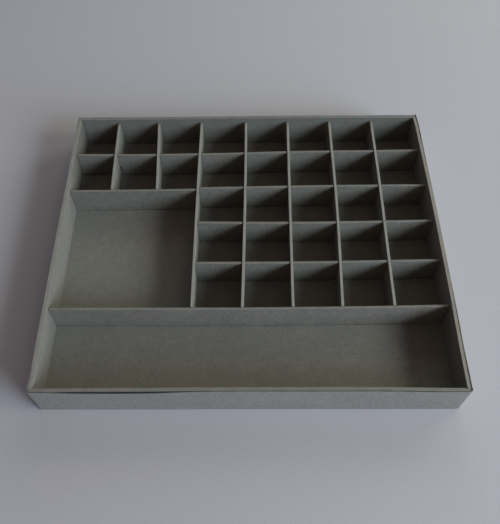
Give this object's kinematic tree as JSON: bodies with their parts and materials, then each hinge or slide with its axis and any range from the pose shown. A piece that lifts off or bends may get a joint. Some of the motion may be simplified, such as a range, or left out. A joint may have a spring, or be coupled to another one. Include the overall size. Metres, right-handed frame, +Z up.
{
  "type": "card organizer box",
  "caption": "Shallow open sorting tray in greyboard with a wide card well, a square well and a grid of small cells between lift-out dividers that cross in half-lap slots.",
  "frame": {"origin": "middle of the underside, on the surface that the tray stands on", "axes": "+X to the right along the long side, +Y to the back away from the card well, +Z up"},
  "size_m": [0.312, 0.2717, 0.0326],
  "materials": {
    "wall_board": "matte",
    "divider_board": "matte",
    "outer_card": "matte",
    "stay_tape": "matte"
  },
  "bodies": {
    "tray": {"base_board": "wall_board", "front_wall_board": "wall_board", "back_wall_board": "wall_board", "left_wall_board": "wall_board", "right_wall_board": "wall_board", "outer_wrap": "outer_card", "corner_stay_front_left": "stay_tape", "corner_stay_front_right": "stay_tape", "corner_stay_back_left": "stay_tape", "corner_stay_back_right": "stay_tape"},
    "row_dividers": {"row_divider_1": "divider_board", "row_divider_2": "divider_board", "row_divider_3": "divider_board", "row_divider_4": "divider_board", "row_divider_5": "divider_board", "row_divider_6": "divider_board"},
    "column_divider_1": {"column_divider_1": "divider_board"},
    "column_divider_2": {"column_divider_2": "divider_board"},
    "column_divider_3": {"column_divider_3": "divider_board"},
    "column_divider_4": {"column_divider_4": "divider_board"},
    "column_divider_5": {"column_divider_5": "divider_board"},
    "column_divider_6": {"column_divider_6": "divider_board"},
    "column_divider_7": {"column_divider_7": "divider_board"}
  },
  "joints": [
    {"name": "row_dividers_lift", "type": "slide", "parent": "tray", "child": "row_dividers", "axis": [0, 0, 1], "range_m": [0, 0.031]},
    {"name": "column_divider_1_lift", "type": "slide", "parent": "row_dividers", "child": "column_divider_1", "axis": [0, 0, 1], "range_m": [0, 0.031]},
    {"name": "column_divider_2_lift", "type": "slide", "parent": "row_dividers", "child": "column_divider_2", "axis": [0, 0, 1], "range_m": [0, 0.031]},
    {"name": "column_divider_3_lift", "type": "slide", "parent": "row_dividers", "child": "column_divider_3", "axis": [0, 0, 1], "range_m": [0, 0.031]},
    {"name": "column_divider_4_lift", "type": "slide", "parent": "row_dividers", "child": "column_divider_4", "axis": [0, 0, 1], "range_m": [0, 0.031]},
    {"name": "column_divider_5_lift", "type": "slide", "parent": "row_dividers", "child": "column_divider_5", "axis": [0, 0, 1], "range_m": [0, 0.031]},
    {"name": "column_divider_6_lift", "type": "slide", "parent": "row_dividers", "child": "column_divider_6", "axis": [0, 0, 1], "range_m": [0, 0.031]},
    {"name": "column_divider_7_lift", "type": "slide", "parent": "row_dividers", "child": "column_divider_7", "axis": [0, 0, 1], "range_m": [0, 0.031]}
  ]
}
